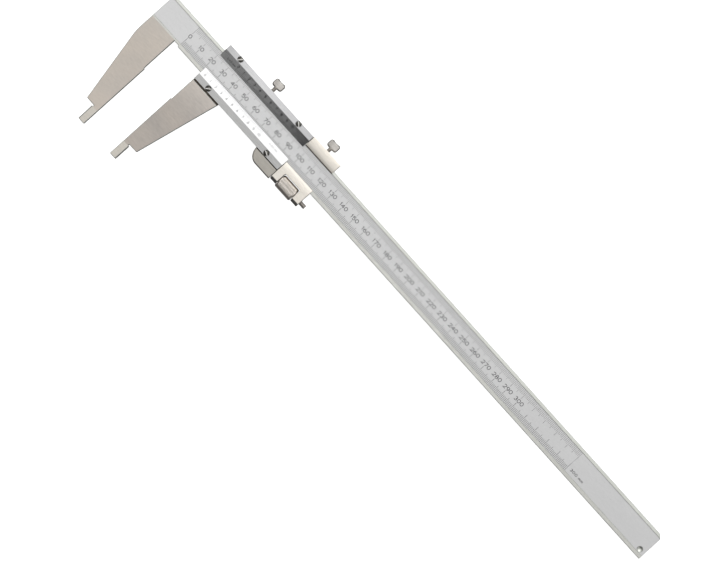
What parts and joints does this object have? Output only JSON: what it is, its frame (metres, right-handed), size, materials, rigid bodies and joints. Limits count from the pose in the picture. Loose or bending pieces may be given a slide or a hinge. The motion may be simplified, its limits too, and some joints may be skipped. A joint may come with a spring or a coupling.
{
  "type": "vernier caliper",
  "caption": "Nib-style vernier caliper with a long graduated beam, an open-front slider with bevelled vernier plates, and a fine-adjustment carriage with a turning nut.",
  "frame": {"origin": "middle of the fixed jaw's measuring face: half way along its 50 mm length and half way through the jaw's thickness", "axes": "+X along the beam, in the direction in which the slider opens; +Y from the jaws towards the clamp screws; +Z out of the graduated face"},
  "size_m": [0.4459, 0.1071, 0.0093],
  "materials": {
    "satin_chrome": "satin chrome plate, brushed along the beam",
    "ground_steel": "surface-ground stainless steel, warm grey, fine grain across the jaws",
    "plated_steel": "bright plated, slightly warm",
    "screw_steel": "polished dark steel",
    "thumb_screw_steel": "tumbled steel",
    "nut_steel": "turned steel with a fine straight knurl",
    "bronze": "rolled spring bronze",
    "scale_black": "matt black paint in the graduations and numbers"
  },
  "bodies": {
    "beam": {"beam": "satin_chrome", "fixed_jaw": "ground_steel"},
    "slider": {"slider_frame": "ground_steel", "moving_jaw": "ground_steel", "upper_vernier_plate": "satin_chrome", "lower_vernier_plate": "satin_chrome", "upper_plate_screw_1": "screw_steel", "upper_plate_screw_2": "screw_steel", "lower_plate_screw_1": "screw_steel", "lower_plate_screw_2": "screw_steel", "gib_set_screw_1": "screw_steel", "gib_set_screw_2": "screw_steel", "adjusting_screw": "thumb_screw_steel", "adjusting_screw_pin": "screw_steel"},
    "slider_gib": {"slider_gib": "bronze"},
    "slider_clamp": {"slider_clamp_screw": "thumb_screw_steel"},
    "carriage": {"carriage": "plated_steel"},
    "carriage_gib": {"carriage_gib": "bronze"},
    "carriage_clamp": {"carriage_clamp_screw": "thumb_screw_steel"},
    "nut": {"adjusting_nut": "nut_steel"}
  },
  "joints": [
    {"name": "slider_slide", "type": "slide", "parent": "beam", "child": "slider", "axis": [1, 0, 0], "range_m": [-0.02398, 0.276]},
    {"name": "slider_gib_slide", "type": "slide", "parent": "slider", "child": "slider_gib", "axis": [0, 1, 0], "range_m": [-0.00025, 0]},
    {"name": "slider_clamp_turn", "type": "hinge", "parent": "slider_gib", "child": "slider_clamp", "pos_m": [0.0623, 0.07615, 0], "axis": [0, 1, 0], "range_deg": [-180.05, 0]},
    {"name": "carriage_slide", "type": "slide", "parent": "slider", "child": "carriage", "axis": [1, 0, 0], "range_m": [0, 0.008]},
    {"name": "nut_turn", "type": "hinge", "parent": "carriage", "child": "nut", "pos_m": [0.11225, 0.04105, 0.0002], "axis": [1, 0, 0], "range_deg": [0, 5760.5]},
    {"name": "carriage_gib_slide", "type": "slide", "parent": "carriage", "child": "carriage_gib", "axis": [0, 1, 0], "range_m": [-0.00025, 0]},
    {"name": "carriage_clamp_turn", "type": "hinge", "parent": "carriage_gib", "child": "carriage_clamp", "pos_m": [0.1124, 0.07615, 0], "axis": [0, 1, 0], "range_deg": [-180.05, 0]}
  ],
  "couplings": [
    {"joint": "slider_clamp_turn", "follows": "slider_gib_slide", "rad_per_m": 12566},
    {"joint": "nut_turn", "follows": "carriage_slide", "rad_per_m": 12566},
    {"joint": "carriage_clamp_turn", "follows": "carriage_gib_slide", "rad_per_m": 12566}
  ]
}
